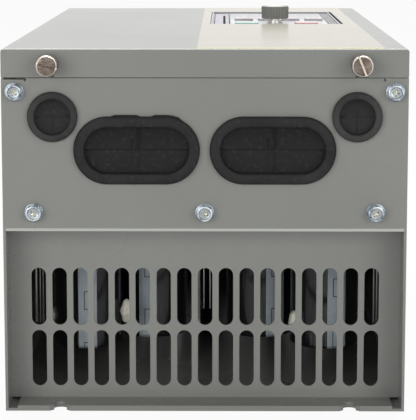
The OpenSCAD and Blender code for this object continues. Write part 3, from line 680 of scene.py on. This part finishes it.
screws_lo, screws_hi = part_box("gland_plate_screws")
HEX_FLATS = 8 * MM
washer_r = HEX_FLATS / 2 / math.cos(math.radians(30)) + 0.5 * MM
top_x = screws_hi.x - washer_r
low_x = top_x - 9.8 * MM
high_z, low_z = screws_hi.z - washer_r, screws_lo.z + washer_r
head_y = screws_lo.y
screws = bmesh.new()
for x, z, turn in (
    (-top_x, high_z, 0.5), (top_x, high_z, 0.1),
    (-low_x, low_z, 0.9), (0, low_z, 0.3), (low_x, low_z, 0.7),
):
    stack(screws, (x, 0, z), [
        (screws_hi.y, screw_ring(2.0 * MM)),
        (front_y, screw_ring(2.4 * MM)),
        (front_y, screw_ring(washer_r - 0.1 * MM)),
        (front_y - 0.9 * MM, screw_ring(washer_r)),
        (front_y - 1.0 * MM, screw_ring(washer_r - 0.2 * MM)),
        (front_y - 1.0 * MM, screw_ring(4.3 * MM)),
        (front_y - 2.1 * MM, screw_ring(4.4 * MM)),
        (front_y - 2.2 * MM, hexagon_outline(HEX_FLATS)),
        (head_y + 0.5 * MM, hexagon_outline(HEX_FLATS)),
        (head_y + 0.1 * MM, hexagon_outline(HEX_FLATS, round_by=0.75)),
        (head_y, hexagon_outline(HEX_FLATS * 0.93, round_by=0.9)),
        (head_y + 0.05 * MM, screw_ring(3.2 * MM)),
        (head_y + 0.7 * MM, screw_ring(2.8 * MM)),
        (head_y + 0.8 * MM, screw_ring(2.4 * MM)),
        (head_y + 0.8 * MM, cross_outline(2.0 * MM, 0.75 * MM)),
        (head_y + 2.0 * MM, cross_outline(1.3 * MM, 0.5 * MM)),
        (head_y + 2.6 * MM, screw_ring(0.3 * MM)),
    ], turn)
screw_piece = make_piece("gland_screws", screws, plated_finish(head_y), "case", 28)
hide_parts("gland_plate_screws")


# ---------------------------------------------------------------------------
# Thumb screws: turned brass, nickel-plated and browned with age. The head has a
# straight knurl, a narrow neck behind it and a driver slot across its face.
def knurled_outline(radius, depth, teeth, count):
    points = []
    for i in range(count):
        angle = 2 * math.pi * i / count
        r = radius - depth * (0.5 + 0.5 * math.cos(teeth * angle))
        points.append((r * math.cos(angle), r * math.sin(angle)))
    return points


def carve(piece, cutter):
    """Takes the cutter's shape out of the piece for good."""
    cut = piece.modifiers.new("slot", "BOOLEAN")
    cut.operation = "DIFFERENCE"
    cut.solver = "EXACT"
    cut.object = cutter
    graph = bpy.context.evaluated_depsgraph_get()
    carved = bpy.data.meshes.new_from_object(piece.evaluated_get(graph))
    piece.modifiers.clear()
    piece.data = carved
    bpy.data.objects.remove(cutter)
    piece.data.shade_smooth()
    piece.data.set_sharp_from_angle(angle=math.radians(28))


def nickel_finish(name, centre, head, face_y, slot_wall_highlight):
    """Brown tarnish on the flat face, with painted highlights on the chamfer round its edge and, on one
    screw, on the lit wall of its slot.
    """
    nickel = Finish(name)
    off_x, off_z = nickel.x - centre.x, nickel.z - centre.z
    rim = (off_x * off_x + off_z * off_z).math("POWER", 0.5) > head - 1.0 * MM
    tarnish = nickel.noise(260, 5)
    turned = nickel.noise(500, 3, stretch=(1, 1, 4))
    brown = nickel.blend(nickel.ramp(tarnish, 0.35, 0.62), (0.17, 0.135, 0.115), (0.075, 0.058, 0.048))
    brown = nickel.blend(nickel.ramp(turned, 0.5, 0.7) * 0.6, brown, (0.30, 0.25, 0.215))
    # Painted highlights: the chamfer ring and the slot's lit wall are coloured bright nickel.
    painted_highlight_band = nickel.band(nickel.y, face_y + 0.03 * MM, face_y + 1.4 * MM)
    shine = (rim * 0.8).math("MAXIMUM", slot_wall_highlight)
    colour = nickel.blend(painted_highlight_band * shine, brown, (0.80, 0.73, 0.64))
    return nickel.set(
        Base_Color=colour,
        Metallic=0.9,
        Roughness=0.28 + tarnish * 0.2,
        Normal=nickel.bump(turned, 0.12 * MM, 0.5),
    )


THUMB_TEETH = 36
thumb_points = 4 * THUMB_TEETH
shank = 2.4 * MM
neck_y = front_y - 0.4 * MM


def thumb_ring(radius):
    return circle_outline(radius, thumb_points)


for side, slot_turn, slot_wall_highlight in (("left", 16, 0.0), ("right", 68, 0.85)):
    node_name = "thumb_screw_" + side
    lo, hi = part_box(node_name)
    head = (hi.z - lo.z) / 2
    centre = Vector(((lo.x + hi.x) / 2, 0, (lo.z + hi.z) / 2))
    nickel_material = nickel_finish("aged_nickel_" + side, centre, head, lo.y, slot_wall_highlight)
    knurled = knurled_outline(head, 0.35 * MM, THUMB_TEETH, thumb_points)
    screw = bmesh.new()
    stack(screw, centre, [
        (hi.y, thumb_ring(shank - 0.5 * MM)),
        (hi.y - 0.6 * MM, thumb_ring(shank)),
        (neck_y, thumb_ring(shank)),
        (neck_y, thumb_ring(head - 1.6 * MM)),
        (neck_y - 2.2 * MM, thumb_ring(head - 1.6 * MM)),
        (neck_y - 2.4 * MM, thumb_ring(head - 0.5 * MM)),
        (neck_y - 2.9 * MM, knurled),
        (lo.y + 0.7 * MM, knurled),
        (lo.y + 0.35 * MM, thumb_ring(head - 0.3 * MM)),
        (lo.y + 0.05 * MM, thumb_ring(head - 0.6 * MM)),
        (lo.y, thumb_ring(head - 0.8 * MM)),
        (lo.y, thumb_ring(0.4 * MM)),
    ])
    piece = make_piece("knurled_" + node_name, screw, nickel_material, node_name, 28)
    blade = bmesh.new()
    bmesh.ops.create_cube(blade, size=1)
    bmesh.ops.scale(blade, vec=(3 * head, 2.4 * MM, 1.05 * MM), verts=blade.verts)
    bmesh.ops.rotate(blade, matrix=Matrix.Rotation(math.radians(slot_turn), 3, "Y"), verts=blade.verts)
    bmesh.ops.translate(blade, vec=(centre.x, lo.y, centre.z), verts=blade.verts)
    cutter = make_piece("driver_blade", blade, nickel_material, "case")
    carve(piece, cutter)
    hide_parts(node_name)


# ---------------------------------------------------------------------------
# Cover film: a thin polycarbonate overlay with a cream print under its satin
# face. Its cut front edge is coloured bright yellow, a painted highlight where the edge catches light.
def film_finish():
    film = Finish("cream_film")
    # Painted highlight: the cut front edge is coloured bright yellow.
    painted_edge_glow = film.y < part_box("cover_overlay")[0].y + 0.25 * MM
    cloud = film.noise(14, 3)
    grain = film.noise(1800, 2)
    colour = film.blend(film.ramp(cloud, 0.3, 0.7), (0.30, 0.284, 0.232), (0.33, 0.313, 0.256))
    return film.set(
        Base_Color=film.blend(painted_edge_glow, colour, (0.93, 0.86, 0.42)),
        Roughness=0.2 + cloud * 0.05,
        Normal=film.bump(grain, 0.02 * MM, 0.15),
        Specular_IOR_Level=0.3,
    )


dress(film_finish(), "cover_overlay")


# ---------------------------------------------------------------------------
# Keypad: a moulded lilac housing behind the cover's opening, with a white printed
# face film, a raised trim, flat black strips painted as the shadow in its slots and gaps, a ribbed grip
# strip and a display window.
def smooth_plastic(name, colour, rough, print_colour=None, print_band=None, gloss=0.5):
    plastic = Finish(name)
    cloud = plastic.noise(50, 3)
    shade = tuple(c * 0.9 for c in colour)
    look = plastic.blend(plastic.ramp(cloud, 0.3, 0.7), colour, shade)
    if print_colour:
        look = plastic.blend(plastic.band(plastic.y, *print_band), look, print_colour)
    return plastic.set(
        Base_Color=look,
        Roughness=rough + cloud * 0.08,
        Specular_IOR_Level=gloss,
        Normal=plastic.bump(plastic.noise(1600, 2), 0.04 * MM, 0.35),
    )


pad_lo, pad_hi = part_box("keypad_housing")
film_lo, film_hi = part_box("keypad_membrane")
lilac_plastic = smooth_plastic("lilac_housing", (0.30, 0.295, 0.325), 0.4)
dress(lilac_plastic, "keypad_housing")
print_band = (film_lo.y + 75 * MM, film_lo.y + 136 * MM)
white_face = smooth_plastic("white_face", (0.42, 0.425, 0.435), 0.14, (0.27, 0.26, 0.29), print_band)
dress(white_face, "keypad_membrane")


def rounded_outline(low, high, radius, per_corner=8):
    """A rectangle between two corners, with its own corners turned through arcs."""
    points = []
    corners = ((high[0], high[1]), (low[0], high[1]), (low[0], low[1]), (high[0], low[1]))
    for corner, (x, y) in enumerate(corners):
        across = x + (radius if x == low[0] else -radius)
        along = y + (radius if y == low[1] else -radius)
        for i in range(per_corner + 1):
            angle = math.pi / 2 * (corner + i / per_corner)
            points.append((across + radius * math.cos(angle), along + radius * math.sin(angle)))
    return points


def ring_wall(bm, outline, thickness, low, high):
    """An upright wall of even thickness inside an outline."""
    plate = bm.faces.new([bm.verts.new((x, y, low)) for x, y in outline])
    bm.normal_update()
    bmesh.ops.inset_region(
        bm, faces=[plate], thickness=thickness, use_boundary=True, use_even_offset=True)
    bmesh.ops.delete(bm, geom=[plate], context="FACES")
    grown = bmesh.ops.extrude_face_region(bm, geom=bm.faces[:])["geom"]
    raised = [item for item in grown if isinstance(item, bmesh.types.BMVert)]
    bmesh.ops.translate(bm, vec=(0, 0, high - low), verts=raised)


pad_lip = 4 * MM
open_x0, open_x1 = pad_lo.x + pad_lip, pad_hi.x - pad_lip
open_y0, open_y1 = pad_lo.y + pad_lip, pad_hi.y - pad_lip
face_z, trim_z = pad_hi.z, cover_top + 0.2 * MM
far_end = open_y1 - 12 * MM
trim_low = (open_x0 + 0.5 * MM, open_y0 + 0.5 * MM)
trim_high = (open_x1 - 1.8 * MM, open_y1 - 0.5 * MM)
trim_wall = 1.1 * MM
trim = bmesh.new()
ring_wall(trim, rounded_outline(trim_low, trim_high, 2.5 * MM), trim_wall, face_z, trim_z)
make_piece("keypad_trim", trim, lilac_plastic, "cover")

# Painted shadow: flat black strips stand for the shade in a slot, along the film's edges and in the gap
# at the right side.
shadow_lines = bmesh.new()
for x, width, start, end in (
    (open_x0 + 9.2 * MM, 1.5 * MM, open_y0 + 12 * MM, open_y1 - 34 * MM),
    (open_x0 + 12.6 * MM, 0.5 * MM, open_y0 + 4 * MM, far_end),
    (open_x0 + 2.6 * MM, 0.4 * MM, open_y0 + 4 * MM, far_end),
    (open_x1 - 0.9 * MM, 1.6 * MM, open_y0 + 1 * MM, open_y1 - 1 * MM),
):
    rib(shadow_lines, (x, (start + end) / 2, face_z + 0.1 * MM), (width, end - start, 0.2 * MM))
painted_shadow_inlay = smooth_plastic("painted_shadow_inlay", (0.008, 0.008, 0.009), 0.7, gloss=0.05)
make_piece("keypad_painted_shadow_lines", shadow_lines, painted_shadow_inlay, "cover")

GRIP_RIBS = 5
grip_strip = bmesh.new()
strip_x0, strip_x1 = film_hi.x + 0.2 * MM, trim_high[0] - trim_wall
strip_y, strip_length = (open_y0 + far_end) / 2 + 2 * MM, far_end - open_y0 - 4 * MM
strip_width = strip_x1 - strip_x0
strip_middle = ((strip_x0 + strip_x1) / 2, strip_y, face_z + 0.25 * MM)
rib(grip_strip, strip_middle, (strip_width, strip_length, 0.5 * MM))
for i in range(GRIP_RIBS):
    x = strip_x0 + (i + 0.5) * strip_width / GRIP_RIBS
    rib(grip_strip, (x, strip_y, face_z + 0.55 * MM), (0.6 * MM, strip_length - 2 * MM, 0.5 * MM))
grey_grip = smooth_plastic("grey_grip", (0.22, 0.225, 0.225), 0.5)
make_piece("keypad_grip_strip", grip_strip, grey_grip, "cover")


def window_finish():
    """Tinted red, with the digits' outlines just visible inside a black border."""
    window = Finish("tinted_window")
    lo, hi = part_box("display_window")
    border = 2 * MM
    digits = window.add(
        "ShaderNodeTexBrick", {"offset": 0.0},
        {"Vector": window.place, "Color1": (0.05, 0.012, 0.012, 1), "Color2": (0.05, 0.012, 0.012, 1),
         "Mortar": (0.02, 0.006, 0.006, 1), "Scale": 55.0, "Mortar Size": 0.05},
        out="Color",
    )
    clear = window.band(window.y, lo.y + border, hi.y - border) * window.band(
        window.x, lo.x + border, hi.x - border)
    return window.set(
        Base_Color=window.blend(clear, (0.01, 0.01, 0.01), digits),
        Roughness=0.08 + clear * 0.04,
        Coat_Weight=0.5,
    )


dress(window_finish(), "display_window")


# ---------------------------------------------------------------------------
# Keys: moulded caps on a wide shelf that the face film holds in. The run and stop
# keys are half in a signal colour, and the four small ones are all pale.
def bevel_edges(bm, edges, offset, segments):
    bmesh.ops.bevel(
        bm, geom=edges, offset=offset, segments=segments, profile=0.5, material=-1, affect="EDGES")


def key_cap(node_name, material, dish):
    """Rounded corners, a soft upper edge and a shallow dish for the finger."""
    lo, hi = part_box(node_name)
    lip = 1.2 * MM
    size = Vector((hi.x - lo.x - 2 * lip, hi.y - lo.y - 2 * lip, hi.z - lo.z))

    def on_top(vert):
        return vert.co.z > size.z / 2 - 1e-6

    key = bmesh.new()
    bmesh.ops.create_cube(key, size=1)
    bmesh.ops.scale(key, vec=size, verts=key.verts)
    upright = [e for e in key.edges if abs((e.verts[0].co - e.verts[1].co).normalized().z) > 0.9]
    bevel_edges(key, upright, 1.4 * MM, 4)
    bevel_edges(key, [e for e in key.edges if all(map(on_top, e.verts))], 0.5 * MM, 3)
    top = [f for f in key.faces if all(map(on_top, f.verts))]
    key.normal_update()
    bmesh.ops.inset_region(key, faces=top, thickness=1.2 * MM)
    bmesh.ops.translate(key, vec=(0, 0, -dish), verts=top[0].verts)
    bmesh.ops.translate(key, vec=(lo + hi) / 2, verts=key.verts)
    shelf = bmesh.ops.create_cube(key, size=1)["verts"]
    shelf_z = pad_hi.z - 3.9 * MM
    bmesh.ops.scale(key, vec=(hi.x - lo.x, hi.y - lo.y, 2 * MM), verts=shelf)
    bmesh.ops.translate(key, vec=((lo.x + hi.x) / 2, (lo.y + hi.y) / 2, shelf_z), verts=shelf)
    piece = make_piece("cap_of_" + node_name, key, material, node_name, 40)
    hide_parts(node_name)


def two_tone_key(name, node_name, tint):
    """A pale key whose finger end, towards the cable end, is moulded in a signal colour."""
    lo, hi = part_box(node_name)
    key = Finish(name)
    split = lo.y + (hi.y - lo.y) * 0.62
    cloud = key.noise(60, 3)
    pale = key.blend(cloud, (0.44, 0.455, 0.45), (0.40, 0.41, 0.41))
    return key.set(
        Base_Color=key.blend(key.y < split, pale, tint),
        Roughness=0.38 + cloud * 0.08,
        Normal=key.bump(key.noise(1700, 2), 0.04 * MM, 0.35),
    )


green_key = two_tone_key("green_key", "run_key", (0.29, 0.44, 0.385))
red_key = two_tone_key("red_key", "stop_key", (0.49, 0.28, 0.285))
pale_key = smooth_plastic("pale_key", (0.43, 0.40, 0.42), 0.4)
key_cap("run_key", green_key, 0.3 * MM)
key_cap("stop_key", red_key, 0.3 * MM)
for node_name in ("program_key", "enter_key", "up_key", "down_key"):
    key_cap(node_name, pale_key, 0.25 * MM)


# ---------------------------------------------------------------------------
# Knob: a grey moulding, pressed on the potentiometer's shaft. It has straight
# ribs, and a slightly domed crown, which is painted lighter as a highlight.
def knob_finish(crown_z):
    grip = Finish("knob_moulding")
    # Painted highlight: the crown is coloured lighter towards its top.
    crown_highlight = grip.ramp(grip.z, crown_z - 1.6 * MM, crown_z - 0.8 * MM)
    cloud = grip.noise(120, 4)
    colour = grip.blend(cloud, (0.12, 0.12, 0.108), (0.18, 0.18, 0.163))
    return grip.set(
        Base_Color=grip.blend(crown_highlight * 0.8, colour, (0.50, 0.50, 0.49)),
        Roughness=0.45 + cloud * 0.1,
        Normal=grip.bump(grip.noise(1500, 2), 0.05 * MM, 0.4),
    )


knob_lo, knob_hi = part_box("knob")
knob_r = (knob_hi.x - knob_lo.x) / 2
knob_h = knob_hi.z - knob_lo.z
KNOB_TEETH = 36
knob_points = 8 * KNOB_TEETH
knob = bmesh.new()


def knob_plain(radius):
    return circle_outline(radius, knob_points)


def knob_ribbed(radius):
    return knurled_outline(radius, 0.5 * MM, KNOB_TEETH, knob_points)


stack(knob, (0, 0, 0), [
    (-0.2 * MM, knob_plain(3.0 * MM)),
    (0, knob_plain(knob_r - 0.8 * MM)),
    (0.3 * MM, knob_ribbed(knob_r - 0.2 * MM)),
    (knob_h - 2.2 * MM, knob_ribbed(knob_r)),
    (knob_h - 1.6 * MM, knob_plain(knob_r - 0.2 * MM)),
    (knob_h - 0.8 * MM, knob_plain(knob_r - 1.3 * MM)),
    (knob_h - 0.4 * MM, knob_plain(knob_r - 2.4 * MM)),
    (knob_h - 0.1 * MM, knob_plain(knob_r * 0.55)),
    (knob_h, knob_plain(knob_r * 0.3)),
])
bmesh.ops.rotate(knob, matrix=Matrix.Rotation(math.radians(90), 3, "X"), verts=knob.verts)
knob_centre = Vector(((knob_lo.x + knob_hi.x) / 2, (knob_lo.y + knob_hi.y) / 2, knob_lo.z))
bmesh.ops.translate(knob, vec=knob_centre, verts=knob.verts)
knob_piece = make_piece("ribbed_knob", knob, knob_finish(knob_hi.z), "knob", 30)
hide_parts("knob")


# ---------------------------------------------------------------------------
# Floor and sky: plain and pale. The camera, gloss and glass see them white, and
# the floor keeps the drive's shadow.
WHITE = (1, 1, 1, 1)


def seen_white(shading, share, plain, white):
    """Shows white in place of plain to the camera, in reflections and through glass."""
    rays = shading.tree.nodes.new("ShaderNodeLightPath")
    seen = Port(shading, rays.outputs["Is Camera Ray"])
    for kind in ("Is Glossy Ray", "Is Transmission Ray"):
        seen = seen.math("MAXIMUM", Port(shading, rays.outputs[kind]))
    return shading.add("ShaderNodeMixShader", {}, {0: seen * share, 1: plain, 2: white})


ground = bmesh.new()
bmesh.ops.create_grid(ground, x_segments=1, y_segments=1, size=12)
floor_mesh = bpy.data.meshes.new("floor")
ground.to_mesh(floor_mesh)
ground.free()
floor = bpy.data.objects.new("floor", floor_mesh)
floor.location.z = case_lo.z - 0.2 * MM
scene.collection.objects.link(floor)
pale = Finish("pale_floor")
pale.set(Base_Color=(0.6, 0.6, 0.6, 1), Roughness=0.9)
glow = pale.add("ShaderNodeEmission", {}, {"Color": WHITE, "Strength": 1.0})
floor_look = seen_white(pale, 0.94, Port(pale, pale.shader.outputs[0]), glow)
pale.feed(pale.tree.nodes["Material Output"].inputs["Surface"], floor_look)
floor_mesh.materials.append(pale.material)

world = bpy.data.worlds.new("studio")
scene.world = world
sky = Shading(world)
dim = sky.add("ShaderNodeBackground", {}, {"Color": WHITE, "Strength": 0.38})
bright = sky.add("ShaderNodeBackground", {}, {"Color": WHITE, "Strength": 1.0})
sky_look = seen_white(sky, 1.0, dim, bright)
sky.feed(sky.tree.nodes["World Output"].inputs["Surface"], sky_look)
